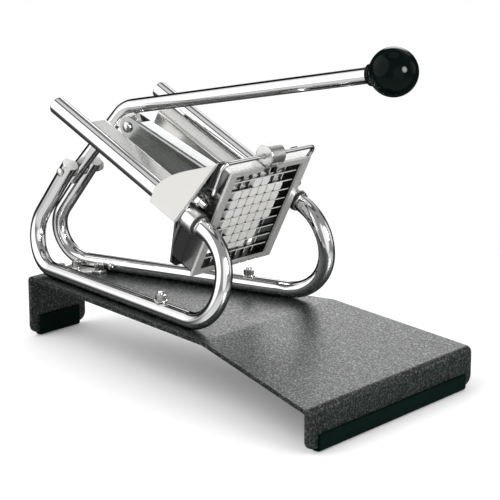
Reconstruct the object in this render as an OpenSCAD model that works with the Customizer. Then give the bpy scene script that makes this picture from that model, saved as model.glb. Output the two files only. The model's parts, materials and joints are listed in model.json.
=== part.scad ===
// Lever type chip and vegetable cutter on a bent sheet base.
// Millimetres, +Z up, +X towards the cutting grid, origin on the floor at the middle.
// Head pieces are drawn in the rail frame: S runs down the guide rails, N stands square to them.

/* [Base plate] */
// Height of the flat top
base_top = 56.5; // [40:0.5:80]
// X of the rear flange
base_rear_x = -189; // [-220:1:-150]
// X where the flat turns into the front slope
base_bend_x = 66.7; // [30:0.1:100]
// X of the front flange
base_front_x = 190.8; // [150:0.1:220]
// Height of the front edge
base_front_z = 33.5; // [20:0.5:56]
// Half width at the rear
base_rear_half = 32.5; // [25:0.5:60]
// Half width at the front
base_front_half = 106.6; // [80:0.1:120]
// Sheet thickness
base_sheet = 3.5; // [2:0.5:5]
// Height of the front rubber trim
trim_front = 13.5; // [8:0.5:20]
// Height of the rear rubber trim
trim_rear = 19; // [8:0.5:25]

/* [Guide rails] */
// X of the rear ends
rail_x = -114.6; // [-140:0.1:-90]
// Height of the rear ends
rail_z = 221; // [180:1:240]
// Slope down towards the grid
slope = 26.36; // [15:0.01:35]
// Half spacing of the rails
rail_half = 61; // [50:0.5:70]
// Rail diameter
rail_d = 15; // [12:0.5:18]
// Tube wall of the legs
wall = 1.6; // [1:0.1:2.5]

/* [Legs] */
// Leg tube diameter
leg_d = 14; // [12:0.5:16]
// Front lower corner of the leg path
leg_front_x = 72.7; // [50:0.1:90]
// Half spacing at the front lower corner
leg_front_half = 69.8; // [60:0.1:80]
// Rear lower corner of the leg path
leg_rear_x = -227.9; // [-240:0.1:-200]
// Half spacing at the rear lower corner
leg_rear_half = 10.7; // [8:0.1:20]

/* [Lever] */
// Pivot position
pivot_x = -155.2; // [-170:0.1:-140]
pivot_z = 153; // [140:0.5:165]
// Elbow position
elbow_x = -95.7; // [-110:0.1:-80]
elbow_z = 213.7; // [200:0.1:230]
// Ball centre
ball_x = 183.8; // [150:0.1:200]
ball_z = 267.5; // [240:0.5:290]
// Ball diameter
ball_d = 37.4; // [30:0.1:45]
// Lever rod diameter
lever_d = 12.4; // [10:0.1:16]
// Link pin position
pin_x = -84.4; // [-95:0.1:-75]
pin_z = 198.9; // [190:0.1:205]

/* [Cutting head] */
// Front face of the head plate along the rails
head_s = 165; // [160:1:170]
// Half width of the grid opening
grid_half = 40.5; // [35:0.5:45]
// Lowest and highest edge of the grid opening
grid_low = -48; // [-52:1:-40]
grid_high = 43; // [35:1:46]
// Columns and rows of the grid
grid_columns = 8; // [6:1:10]
grid_rows = 10; // [6:1:12]
// Blade thickness
blade_t = 0.8; // [0.4:0.1:1.2]

/* [Link and pusher] */
// Distance between the two link pins
link_length = 109.6; // [90:0.1:120]
// Tilt of the link above the rails
link_tilt = 5.5; // [0:0.1:10]
// Rear end of the hopper along the rails
hopper_s = 31; // [25:1:50]

/* [Hidden] */
$fn = 48;
pin_d = 6;
lever_tail = 14;
leg_z = base_top + leg_d / 2;
half_slope = (base_front_half - base_rear_half) / (base_front_x - base_rear_x);
leg_lean = (leg_front_half - leg_rear_half) / (leg_front_x - leg_rear_x);
strap_top = base_top + 3;
strap_fixings = [[-170, 9], [-147, 14.6]];
leg_bolt_x = -4;
leg_screw_x = -137.6;
columns_pitch = 2 * grid_half / grid_columns;
rows_pitch = (grid_high - grid_low) / grid_rows;
pusher_s = 158;
pusher_pin_s = (pin_x - rail_x) * cos(slope) + (rail_z - pin_z) * sin(slope) + link_length * cos(link_tilt);
pusher_pin_n = (pin_x - rail_x) * sin(slope) - (rail_z - pin_z) * cos(slope) + link_length * sin(link_tilt);

function unit(v) = v / norm(v);
function rail_point(s, y, n) =
  [rail_x + s * cos(slope) + n * sin(slope), y, rail_z - s * sin(slope) + n * cos(slope)];
function leg_y(x) = leg_rear_half + (x - leg_rear_x) * leg_lean;
function base_half(x) = base_rear_half + (x - base_rear_x) * half_slope;
function leg_up(side) =
  unit([pivot_x, side * 14.1, pivot_z] - [leg_rear_x, side * leg_rear_half, leg_z]);
function leg_top(side) = [pivot_x, side * 14.1, pivot_z] + 9 * leg_up(side);
function leg_path(side, over = 0) = [rail_point(head_s + 6.2 - over, side * rail_half, 0),
  rail_point(209.4, side * rail_half, 0), [leg_front_x, side * leg_front_half, leg_z],
  [leg_rear_x, side * leg_rear_half, leg_z], leg_top(side) + over * leg_up(side)];
leg_radii = [39.5, 39, 30];

// Rod between two points
module rod(a, b, d) {
  v = b - a;
  translate(a) rotate([0, acos(v[2] / norm(v)), atan2(v[1], v[0])]) cylinder(d = d, h = norm(v));
}

// Round bend at corner q between p and r
module bend(p, q, r, radius, d) {
  u = unit(p - q);
  w = unit(r - q);
  half = acos(u * w) / 2;
  centre = q + unit(u + w) * radius / sin(half);
  x = unit(q + u * radius / tan(half) - centre);
  z = unit(cross(w, u));
  tip = acos(z[2]);
  swing = atan2(z[1], z[0]);
  spin = atan2(x * [-sin(swing), cos(swing), 0],
    x * [cos(tip) * cos(swing), cos(tip) * sin(swing), -sin(tip)]);
  translate(centre) rotate([0, tip, swing]) rotate([0, 0, spin])
    rotate_extrude(angle = 180 - 2 * half) translate([radius, 0]) circle(d = d);
}

// Bent tube or rod through a list of corners, its parts keyed together by short inner plugs
module bent(path, radii, d) {
  last = len(path) - 1;
  cut = [for (i = [1:last - 1])
    radii[i - 1] / tan(acos(unit(path[i - 1] - path[i]) * unit(path[i + 1] - path[i])) / 2)];
  for (i = [0:last - 1]) {
    v = unit(path[i + 1] - path[i]);
    a = path[i] + v * (i == 0 ? 0 : cut[i - 1]);
    b = path[i + 1] - v * (i == last - 1 ? 0 : cut[i]);
    rod(a + v * (i == 0 ? 0 : 0.04), b - v * (i == last - 1 ? 0 : 0.04), d);
    if (i > 0) rod(a - v * 0.4, a + v * 0.4, d - 0.4);
    if (i < last - 1) rod(b - v * 0.4, b + v * 0.4, d - 0.4);
  }
  for (i = [1:last - 1]) bend(path[i - 1], path[i], path[i + 1], radii[i - 1], d);
}

module on_rails() {
  translate([rail_x, 0, rail_z]) rotate([0, slope, 0]) children();
}

// Outline in Y and N, carried along the rails from a to b
module across(a, b) {
  on_rails() translate([a, 0, 0]) rotate([90, 0, 90]) linear_extrude(b - a) children();
}

// Outline in S and N, carried across the machine from y0 to y1
module sideways(y0, y1) {
  on_rails() translate([0, y1, 0]) rotate([90, 0, 0]) linear_extrude(y1 - y0) children();
}

// Rod or bore along Y at a point of the X Z plane
module along_y(x, z, y0, y1, d, sides = 48) {
  translate([x, y1, z]) rotate([90, 0, 0]) cylinder(d = d, h = y1 - y0, $fn = sides);
}

module nut(d, across_flats, h) {
  difference() {
    cylinder(d = across_flats / cos(30), h = h, $fn = 6);
    translate([0, 0, -1]) cylinder(d = d, h = h + 2);
  }
}

module base_profile(inset) {
  polygon([[base_rear_x + inset, 3 - inset], [base_rear_x + inset, base_top - inset],
    [base_bend_x - inset * 0.1, base_top - inset],
    [base_front_x - inset, base_front_z - inset * 1.01 + 0.2 * inset],
    [base_front_x - inset, 3 - inset]]);
}

module base_plate() {
  color("DimGray") difference() {
    intersection() {
      translate([0, 130, 0]) rotate([90, 0, 0]) linear_extrude(260) difference() {
        base_profile(0);
        base_profile(base_sheet);
        difference() {
          translate([base_rear_x - 1, base_top - 5]) square([6, 6]);
          translate([base_rear_x + 5, base_top - 5]) circle(r = 5);
        }
        difference() {
          translate([base_front_x - 4.2, base_front_z - 4]) square([6, 6]);
          translate([base_front_x - 5, base_front_z - 4.2]) circle(r = 5);
        }
      }
      linear_extrude(100) polygon([[base_rear_x - 1, -base_rear_half], [base_rear_x - 1, base_rear_half],
        [base_front_x + 1, base_front_half], [base_front_x + 1, -base_front_half]]);
    }
    for (side = [-1, 1]) {
      for (x = [base_rear_x - 1, base_front_x - base_sheet - 1])
        translate([x, side * base_half(x), 3]) rotate([45, 0, 0])
          translate([0, -5.6, -5.6]) cube([base_sheet + 2, 11.2, 11.2]);
      translate([leg_bolt_x, side * leg_y(leg_bolt_x), 40]) cylinder(d = 5.2, h = 20);
    }
    strap_places(40) cylinder(d = 5.2, h = 20);
  }
}

// Rubber edge trim that wraps the foot of a flange
module trim(x, half, h, thick) {
  difference() {
    translate([x - thick, -half, 0]) cube([base_sheet + 2 * thick, 2 * half, h]);
    translate([x - 0.05, -half - 1, 3]) cube([base_sheet + 0.1, 2 * half + 2, h]);
    for (side = [-1, 1]) translate([x - thick - 1, side * half, 0]) rotate([45, 0, 0])
      translate([0, -1, -1]) cube([base_sheet + 2 * thick + 2, 2, 2]);
  }
}

module front_trim() {
  color("Black") trim(base_front_x - base_sheet, 95, trim_front, 3);
}

module rear_trim() {
  color("Black") trim(base_rear_x, 24, trim_rear, 2.5);
}

module leg(side) {
  color("Silver") difference() {
    bent(leg_path(side), leg_radii, leg_d);
    bent(leg_path(side, 1), leg_radii, leg_d - 2 * wall);
    along_y(pivot_x, pivot_z, -30, 30, pin_d + 0.1);
    translate([leg_bolt_x, side * leg_y(leg_bolt_x), base_top - 1]) cylinder(d = 5.2, h = leg_d + 2);
    leg_screw_hole(side);
  }
}

// Bore for the small screw in the inner side of a leg
module leg_screw_hole(side) {
  y = side * leg_y(leg_screw_x);
  along_y(leg_screw_x, leg_z - 0.5, min(y, y - side * 9), max(y, y - side * 9), 4.1);
}

module leg_near() {
  leg(-1);
}

module leg_far() {
  leg(1);
}

module leg_caps() {
  color("Gainsboro") for (side = [-1, 1]) {
    v = leg_up(side);
    translate(leg_top(side)) rotate([0, acos(v[2]), atan2(v[1], v[0])]) {
      translate([0, 0, -1.5]) cylinder(d = leg_d - 2 * wall - 0.04, h = 1.5);
      intersection() {
        cylinder(d = leg_d, h = 3);
        translate([0, 0, -9]) sphere(r = 11.6);
      }
    }
  }
}

// Solid guide rod with a bevelled rear end
module rail(side) {
  color("Silver") on_rails() translate([0, side * rail_half, 0]) rotate([0, 90, 0]) rotate_extrude()
    polygon([[0, 0], [rail_d / 2 - 1, 0], [rail_d / 2, 1], [rail_d / 2, head_s + 6], [0, head_s + 6]]);
}

module rail_near() {
  rail(-1);
}

module rail_far() {
  rail(1);
}

module leg_bolts() {
  color("Silver") for (side = [-1, 1])
    translate([leg_bolt_x, side * leg_y(leg_bolt_x), base_top - base_sheet]) {
    cylinder(d = 5, h = base_sheet + leg_d + 8);
    translate([0, 0, -3]) cylinder(d = 9, h = 3);
  }
}

module leg_washers() {
  color("Silver") for (side = [-1, 1]) translate([leg_bolt_x, side * leg_y(leg_bolt_x), base_top + leg_d])
    difference() {
      cylinder(d = 11, h = 1);
      translate([0, 0, -1]) cylinder(d = 5.1, h = 3);
    }
}

module leg_nuts() {
  color("Silver") for (side = [-1, 1]) translate([leg_bolt_x, side * leg_y(leg_bolt_x), base_top + leg_d + 1])
    nut(5.1, 8, 4.5);
}

module strap_places(z) {
  for (side = [-1, 1], place = strap_fixings) translate([place[0], side * place[1], z]) children();
}

module tie_strap() {
  color("Gainsboro") difference() {
    translate([0, 0, base_top]) linear_extrude(strap_top - base_top) {
      polygon([[-182, -14], [-182, 14], [-151, 17.5], [-141.5, 18.9], [-141.5, 10.5], [-151, 9],
        [-151, -9], [-141.5, -10.5], [-141.5, -18.9], [-151, -17.5]]);
    }
    strap_places(base_top - 1) cylinder(d = 5.2, h = 5);
  }
}

module strap_bolts() {
  color("Silver") strap_places(base_top - base_sheet) {
    cylinder(d = 5, h = base_sheet + 3 + 7);
    translate([0, 0, -3]) cylinder(d = 9, h = 3);
  }
}

module strap_washers() {
  color("Silver") strap_places(strap_top) difference() {
    cylinder(d = 8.6, h = 0.8);
    translate([0, 0, -1]) cylinder(d = 5.1, h = 3);
  }
}

module strap_nuts() {
  color("Silver") strap_places(strap_top + 0.8) nut(5.1, 8, 4.5);
}

module leg_screws() {
  color("Silver") for (side = [-1, 1]) {
    face = leg_y(leg_screw_x) - leg_d / 2 - 0.8;
    translate([leg_screw_x, side * face, leg_z - 0.5]) rotate([side * 90, 0, 0]) {
      cylinder(d = 6.4, h = 2.6);
      translate([0, 0, -3.5]) cylinder(d = 4, h = 3.5);
    }
  }
}

// Outline of the head plate: one side, then the same points mirrored
module head_outline() {
  side = [[52, -51], [60, -46], [73.8, -3.6], [48.8, 46], [48.8, 47.5]];
  polygon(concat(side, [for (i = [len(side) - 1:-1:0]) [-side[i][0], side[i][1]]]));
}

module head_plate() {
  color("WhiteSmoke") across(head_s - 1.6, head_s) difference() {
    head_outline();
    translate([-grid_half, grid_low]) square([2 * grid_half, 100]);
    for (side = [-1, 1]) translate([side * rail_half, 0]) circle(d = rail_d + 0.1);
    for (side = [-1, 1]) translate([side * 58, 15]) circle(d = 5.2);
  }
}

// Cheeks folded back from the sloping sides of the head plate
module head_wings() {
  color("WhiteSmoke") intersection() {
    across(head_s - 40, head_s - 1.6) for (side = [-1, 1])
      polygon([[side * 48.8, 46], [side * 73.8, -3.6], [side * 72.73, -4.14], [side * 47.73, 45.46]]);
    sideways(-80, 80) polygon([[166, 49], [161.2, 42.8], [153.5, 36.4], [148, 31.3], [143, 26.6],
      [137, 20.7], [133.1, 15.2], [130.8, 9], [130.5, 4], [131.6, -1], [134, -4.2], [166, -4.2]]);
  }
}

module hopper() {
  color("Gainsboro") across(hopper_s, head_s - 1.6) polygon([[-48.5, 1], [-31, 1], [-31, -11.4],
    [-13.6, -36], [13.6, -36], [31, -11.4], [31, 1], [48.5, 1], [48.5, -0.5], [32.5, -0.5],
    [32.5, -11.9], [14.4, -37.5], [-14.4, -37.5], [-32.5, -11.9], [-32.5, -0.5], [-48.5, -0.5]]);
}

module blade_box() {
  color("WhiteSmoke") difference() {
    across(head_s, 178) difference() {
      translate([-47, -51]) square([94, 95]);
      translate([-45.5, -49.5]) square([91, 100]);
    }
    on_rails() translate([172, 60, 22]) rotate([90, 0, 0]) cylinder(d = 3.6, h = 120);
  }
}

module sockets() {
  color("Silver") for (side = [-1, 1]) on_rails() translate([head_s, side * rail_half, 0])
    rotate([0, 90, 0]) difference() {
      cylinder(d = 18.5, h = 12);
      translate([0, 0, -1]) cylinder(d = rail_d + 0.1, h = 7.1);
      cylinder(d = leg_d + 0.1, h = 20);
    }
}

module collars() {
  color("Black") for (side = [-1, 1]) on_rails() translate([head_s + 12, side * rail_half, 0])
    rotate([0, 90, 0]) difference() {
      cylinder(d = 18, h = 2.6);
      translate([0, 0, -1]) cylinder(d = leg_d + 0.1, h = 6);
    }
}

module clamp_rings() {
  color("Silver") for (side = [-1, 1]) on_rails() translate([head_s + 14.6, side * rail_half, 0])
    rotate([0, 90, 0]) difference() {
      cylinder(d = 16.4, h = 1.4);
      translate([0, 0, -1]) cylinder(d = leg_d + 0.1, h = 6);
    }
}

module clamp_bolts() {
  color("Silver") for (side = [-1, 1]) on_rails() translate([head_s - 1.6, side * 58, 15])
    rotate([0, 90, 0]) {
      cylinder(d = 5, h = 11);
      translate([0, 0, -2.5]) cylinder(d = 9, h = 2.5);
    }
}

module clamp_nuts() {
  color("Silver") for (side = [-1, 1]) on_rails() translate([head_s, side * 58, 15])
    rotate([0, 90, 0]) nut(5.1, 8, 4.5);
}

module blade_frame() {
  color("LightGray") difference() {
    union() {
      across(head_s + 2.5, 178.1) translate([-45.4, -49.4]) square([90.8, 96.9]);
      across(178.1, 180.6) translate([-48.5, -51.5]) square([97, 99]);
    }
    across(head_s, 183) translate([-grid_half, grid_low]) square([2 * grid_half, grid_high - grid_low]);
    sideways(-9.6, 9.6) polygon([[165, 50], [165, 44.4], [177.4, 44.4], [177.4, 42], [182, 42],
      [182, 50]]);
  }
}

module blades_upright() {
  color("Silver") across(170, 173.4) for (i = [1:grid_columns - 1])
    translate([-grid_half + i * columns_pitch - blade_t / 2, grid_low])
      square([blade_t, grid_high - grid_low]);
}

module blades_level() {
  color("Silver") across(173.5, 177) for (i = [1:grid_rows - 1])
    translate([-grid_half, grid_low + i * rows_pitch - blade_t / 2])
      square([2 * grid_half, blade_t]);
}

module bail() {
  color("Silver") on_rails() bent([[172, -45.6, 22], [172, -50.5, 22], [175, -56, 54],
    [175, 56, 54], [172, 50.5, 22], [172, 45.6, 22]], [2.5, 5, 5, 2.5], 3.4);
}

module bail_knob() {
  color("Silver") on_rails() translate([175, 8.5, 54]) rotate([90, 0, 0]) difference() {
    cylinder(d = 18, h = 17);
    translate([0, 0, -1]) cylinder(d = 3.5, h = 20);
  }
}

module pivot_bolt() {
  color("Silver") {
    along_y(pivot_x, pivot_z, -21.4, 29, pin_d);
    along_y(pivot_x, pivot_z, -23.6, -21.4, 8);
  }
}

module pivot_nut() {
  color("Silver") translate([pivot_x, 21.4, pivot_z]) rotate([-90, 0, 0]) nut(pin_d + 0.1, 10, 5);
}

module pivot_washers() {
  color("Silver") for (side = [-1, 1]) difference() {
    along_y(pivot_x, pivot_z, side * 6.55 - 0.3, side * 6.55 + 0.3, 12);
    along_y(pivot_x, pivot_z, -10, 10, pin_d + 0.1);
  }
}

module lever_sweep(d) {
  arm = unit([elbow_x - pivot_x, 0, elbow_z - pivot_z]);
  bent([[pivot_x, 0, pivot_z] - arm * lever_tail, [elbow_x, 0, elbow_z],
    [ball_x, 0, ball_z] - 5 * unit([ball_x - elbow_x, 0, ball_z - elbow_z])], [32], d);
}

module lever_rod() {
  color("Silver") difference() {
    lever_sweep(lever_d);
    along_y(pivot_x, pivot_z, -10, 10, pin_d + 0.1);
  }
}

module lever_lug() {
  color("Silver") difference() {
    translate([0, 3, 0]) rotate([90, 0, 0]) linear_extrude(6) {
      translate([pin_x, pin_z]) circle(r = 7.6);
      polygon([[pin_x - 4.5, pin_z - 6.1], [pin_x + 5.6, pin_z + 5.1], [elbow_x + 13, elbow_z - 0.5],
        [elbow_x - 6, elbow_z - 8], [elbow_x - 10, elbow_z - 16]]);
    }
    lever_sweep(lever_d + 0.1);
    along_y(pin_x, pin_z, -10, 10, pin_d + 0.1);
  }
}

module ball() {
  v = unit([ball_x - elbow_x, 0, ball_z - elbow_z]);
  color("Black") difference() {
    translate([ball_x, 0, ball_z]) rotate([0, acos(v[2]), 0]) {
      sphere(d = ball_d);
      translate([0, 0, -ball_d / 2 - 3]) cylinder(d = 17, h = 8);
    }
    rod([ball_x, 0, ball_z] - v * 30, [ball_x, 0, ball_z] - v * 5, lever_d + 0.1);
  }
}

module link_bolt() {
  color("Silver") {
    along_y(pin_x, pin_z, -8.6, 14, pin_d);
    along_y(pin_x, pin_z, -11.6, -8.6, 9.5);
  }
}

module link_nut() {
  color("Silver") translate([pin_x, 8.6, pin_z]) rotate([-90, 0, 0]) nut(pin_d + 0.1, 10, 4.5);
}

module on_link() {
  translate([pin_x, 0, pin_z]) rotate([0, slope - link_tilt, 0]) children();
}

// Side of the link, with an open slot at the front in which the pusher pin rises and falls
module link_cheek(y0) {
  on_link() translate([0, y0 + 1.5, 0]) rotate([90, 0, 0]) linear_extrude(1.5) difference() {
    union() {
      circle(r = 9);
      polygon([[0, 9], [118, 9], [118, -15], [60, -15], [-1.2, -8.92]]);
    }
    circle(d = pin_d + 0.1);
    translate([link_length, 0]) rotate(-link_tilt) {
      translate([-0.3, 0]) circle(d = 7.7);
      translate([-4.15, -20]) square([7.7, 20]);
    }
  }
}

module link() {
  color("Gainsboro") {
    link_cheek(-8.5);
    link_cheek(7);
    on_link() translate([10, -7, 7.5]) cube([108, 14, 1.5]);
  }
}

module pusher_pin() {
  color("Silver") on_rails() {
    along_y(pusher_pin_s, pusher_pin_n, -8.6, 8.6, pin_d);
    along_y(pusher_pin_s, pusher_pin_n, -10.6, -8.6, 9);
    along_y(pusher_pin_s, pusher_pin_n, 8.6, 10.6, 9);
  }
}

// Section of the pusher: the hopper's trough below and the grid's width above
module pusher_section() {
  polygon([[-39, 1.6], [-30.5, 1.6], [-30.5, -11.2], [-13.4, -35.4], [13.4, -35.4],
    [30.5, -11.2], [30.5, 1.6], [39, 1.6], [39, 38], [-39, 38]]);
}

module pusher_plate() {
  color("Gainsboro") across(pusher_s, pusher_s + 3) pusher_section();
}

// One peg for each cell that the food fills, 0.2 clear of the blades all round
module pusher_pegs() {
  reach = [0, 1, 2, 2, 3, 3, 3, 3, 1];
  edge = blade_t / 2 + 0.2;
  color("White") for (row = [1:8], column = [0:grid_columns - 1])
    if (abs(column - 3.5) < reach[row]) across(pusher_s + 3, 176.8) intersection() {
      pusher_section();
      translate([-grid_half + column * columns_pitch + edge, grid_low + row * rows_pitch + edge])
        square([columns_pitch - 2 * edge, rows_pitch - 2 * edge]);
    }
}

module pusher_lug() {
  color("Gainsboro") difference() {
    sideways(-3, 3)
      polygon([[158, -30], [126, -30], [126, -22], [136, -8], [136, 9.6], [158, 9.6]]);
    on_rails() along_y(pusher_pin_s, pusher_pin_n, -5, 5, pin_d + 0.1);
  }
}

module pusher_shoe() {
  color("White") across(126, 158) polygon([[-12.6, -35.5], [12.6, -35.5], [16, -30.4], [16, -30],
    [-16, -30], [-16, -30.4]]);
}

base_plate();
front_trim();
rear_trim();
leg_near();
leg_far();
leg_caps();
rail_near();
rail_far();
leg_bolts();
leg_nuts();
leg_washers();
tie_strap();
strap_bolts();
strap_washers();
strap_nuts();
leg_screws();
head_plate();
head_wings();
hopper();
blade_box();
sockets();
collars();
clamp_rings();
clamp_bolts();
clamp_nuts();
blade_frame();
blades_upright();
blades_level();
bail();
bail_knob();
pivot_bolt();
pivot_nut();
pivot_washers();
lever_rod();
lever_lug();
ball();
link_bolt();
link_nut();
link();
pusher_pin();
pusher_plate();
pusher_pegs();
pusher_lug();
pusher_shoe();
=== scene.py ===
import json
import math

import bmesh
import bpy
from mathutils import Matrix, Vector


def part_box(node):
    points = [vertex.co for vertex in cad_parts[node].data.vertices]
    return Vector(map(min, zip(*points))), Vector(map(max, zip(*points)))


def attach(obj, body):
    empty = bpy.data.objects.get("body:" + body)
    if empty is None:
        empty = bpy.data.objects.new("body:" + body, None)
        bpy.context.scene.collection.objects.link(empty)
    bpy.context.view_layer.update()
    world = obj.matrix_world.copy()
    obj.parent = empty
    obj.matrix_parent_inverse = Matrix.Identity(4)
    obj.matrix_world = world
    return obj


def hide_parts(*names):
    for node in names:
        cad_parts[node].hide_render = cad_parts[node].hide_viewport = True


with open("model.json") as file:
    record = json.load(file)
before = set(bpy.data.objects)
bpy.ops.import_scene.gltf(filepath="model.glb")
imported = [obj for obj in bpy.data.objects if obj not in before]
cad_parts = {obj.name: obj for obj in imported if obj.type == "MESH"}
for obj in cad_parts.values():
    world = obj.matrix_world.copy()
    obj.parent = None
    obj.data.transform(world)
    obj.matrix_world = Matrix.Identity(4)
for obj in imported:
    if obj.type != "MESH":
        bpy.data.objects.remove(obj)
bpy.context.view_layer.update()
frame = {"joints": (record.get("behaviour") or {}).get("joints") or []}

# Driving sizes in millimetres, the same as the part's own. S runs down the rails, N stands square to them.
MM = 0.001
SHEET = 3.5
BASE_TOP = 56.5
BASE_BEND_X = 66.7
BASE_FRONT_Z = 33.5
RAIL_START = Vector((-114.6, 0, 221))
RAIL_D = 15
LEG_D = 14
LEG_BOLT_X = -4
LEG_FRONT = (72.7, 69.8)
LEG_REAR = (-227.9, 10.7)
LEG_TOP_HALF = 14.1
LEG_RADII = (39.5, 39, 30)
HEAD_S = 165
HEAD_SHEET = 1.6
HOPPER_S = 31
GRID_HALF = 40.5
GRID_LOW = -48
GRID_HIGH = 43
GRID_COLUMNS = 8
GRID_ROWS = 10
BLADE = 0.8
UPRIGHT_FRONT = 173.4
LEVEL_FRONT = 177
FRAME_REAR = HEAD_S + 2.5
FRAME_FRONT = 178.1
FLANGE_FRONT = 180.6
NOTCH_HALF = 9.6
LEVER_D = 12.4
BALL_D = 37.4
BALL = Vector((183.8, 0, 267.5))
ELBOW = Vector((-95.7, 0, 213.7))
LINK_LENGTH = 109.6
LINK_TILT = math.radians(5.5)
PIN_D = 6
LEVER_TAIL = 14
LEG_SCREW_X = -137.6
STRAP_TOP = BASE_TOP + 3
STRAP_FIXINGS = ((-170, 9), (-147, 14.6))
PUSHER_S = 158
PUSHER_SHEET = 3
PEG_FRONT = 176.8
SMALL_BOLT = 5
SMALL_NUT = (8, 4.5, 5.1)
FIT = 0.1
SIDES = (-1, 1)

joints = {joint["name"]: joint for joint in frame["joints"]}
slide_axis = Vector(joints["pusher_slide"]["axis"])
SLOPE = math.atan2(slide_axis.z, -slide_axis.x)
PIVOT = Vector(joints["lever_hinge"]["pos_m"]) / MM
PIN = Vector(joints["link_hinge"]["pos_m"]) / MM
base_low, base_high = (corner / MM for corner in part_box("base_plate"))
REAR_X = base_low.x
FRONT_X = base_high.x
FRONT_HALF = base_high.y
REAR_HALF = 32.5
FLANGE_FOOT = base_low.z
RAIL_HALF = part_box("rail_far")[1].y / MM - RAIL_D / 2

PLAIN = Matrix.Scale(MM, 4)
RAILS = PLAIN @ Matrix.Translation(RAIL_START) @ Matrix.Rotation(SLOPE, 4, "Y")
LINK = PLAIN @ Matrix.Translation(PIN) @ Matrix.Rotation(SLOPE - LINK_TILT, 4, "Y")
PUSHER_PIN = RAILS.inverted() @ LINK @ Vector((LINK_LENGTH, 0, 0))


# ---------------------------------------------------------------- shapes

def rail_point(s, y, n):
    """Point of the rail frame in the object's own millimetres."""
    return RAIL_START + Matrix.Rotation(SLOPE, 3, "Y") @ Vector((s, y, n))


def standing_on(origin, axis, frame_of=PLAIN):
    """Frame whose Z runs along axis from origin."""
    turn = Vector((0, 0, 1)).rotation_difference(Vector(axis)).to_matrix().to_4x4()
    return frame_of @ Matrix.Translation(origin) @ turn


def arc(centre, radius, start, stop, steps=8):
    """Points of an arc in a plane, its angles in degrees."""
    angles = [math.radians(start + (stop - start) * i / steps) for i in range(steps + 1)]
    return [(centre[0] + radius * math.cos(a), centre[1] + radius * math.sin(a)) for a in angles]


def bezier(a, b, c, d, steps=16):
    """Points of a cubic curve in a plane."""
    points = []
    for i in range(steps + 1):
        t = i / steps
        points.append(Vector(a) * (1 - t) ** 3 + Vector(b) * 3 * t * (1 - t) ** 2
                      + Vector(c) * 3 * t * t * (1 - t) + Vector(d) * t ** 3)
    return points


def rounded(corners, radii, steps=8):
    """Polyline whose inner corners are arcs."""
    corners = [Vector(corner) for corner in corners]
    path = [corners[0]]
    for i, radius in enumerate(radii, start=1):
        back = (corners[i - 1] - corners[i]).normalized()
        ahead = (corners[i + 1] - corners[i]).normalized()
        half = back.angle(ahead) / 2
        centre = corners[i] + (back + ahead).normalized() * radius / math.sin(half)
        start = corners[i] + back * radius / math.tan(half) - centre
        stop = corners[i] + ahead * radius / math.tan(half) - centre
        turn = start.angle(stop)
        for k in range(steps + 1):
            t = k / steps
            path.append(centre + (start * math.sin((1 - t) * turn) + stop * math.sin(t * turn))
                        / math.sin(turn))
    return path + [corners[-1]]


def bridge(bm, first, second):
    """Faces between two rings, either of which may be a single point."""
    count = max(len(first), len(second))
    for i in range(count):
        j = (i + 1) % count
        corners = [first[i % len(first)], first[j % len(first)], second[j % len(second)],
                   second[i % len(second)]]
        bm.faces.new(list(dict.fromkeys(corners)))


def lathe(profile, closed=False, sides=64):
    """Turned solid from radii and heights; an open profile starts and ends on the axis."""
    bm = bmesh.new()
    rings = []
    for radius, z in profile:
        around = [2 * math.pi * i / sides for i in range(sides)] if radius > 1e-6 else [0]
        rings.append([bm.verts.new((radius * math.cos(a), radius * math.sin(a), z)) for a in around])
    for first, second in zip(rings, rings[1:] + rings[:1] if closed else rings[1:]):
        bridge(bm, first, second)
    return bm


def tube(path, radius, sides=48, edge=0.8):
    """Round bar along a path, with softly rounded ends."""
    bm = bmesh.new()
    path = [Vector(point) for point in path]
    tangents = [(path[min(i + 1, len(path) - 1)] - path[max(i - 1, 0)]).normalized()
                for i in range(len(path))]
    side = tangents[0].orthogonal().normalized()
    stations = []
    for point, tangent in zip(path, tangents):
        side = (side - tangent * side.dot(tangent)).normalized()
        stations.append((point, tangent, side, radius))
    round_end = [(math.sin(a), 1 - math.cos(a)) for a in (math.radians(d) for d in (0, 30, 60, 90))]
    start, stop = stations[0], stations[-1]
    head = [(start[0] + start[1] * edge * (1 - u), start[1], start[2], radius - edge * v)
            for u, v in reversed(round_end)]
    tail = [(stop[0] - stop[1] * edge * (1 - u), stop[1], stop[2], radius - edge * v)
            for u, v in round_end]
    rings = []
    for point, tangent, side, size in head + stations[1:-1] + tail:
        up = tangent.cross(side)
        rings.append([bm.verts.new(point + size * (side * math.cos(a) + up * math.sin(a)))
                      for a in (2 * math.pi * i / sides for i in range(sides))])
    for first, second in zip(rings, rings[1:]):
        bridge(bm, first, second)
    for end, ring in ((start[0], rings[0]), (stop[0], rings[-1])):
        bridge(bm, ring, [bm.verts.new(end)])
    return bm


def slab(outline, depth):
    """Flat outline of 3-D points, carried along the depth vector."""
    bm = bmesh.new()
    near = [bm.verts.new(Vector(point)) for point in outline]
    far = [bm.verts.new(Vector(point) + Vector(depth)) for point in outline]
    bridge(bm, near, far)
    bm.faces.new(near)
    bm.faces.new(far)
    return bm


def block(low, high):
    """Box between two corners."""
    corners = [(low[0], low[1], low[2]), (high[0], low[1], low[2]), (high[0], high[1], low[2]),
               (low[0], high[1], low[2])]
    return slab(corners, (0, 0, high[2] - low[2]))


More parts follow.
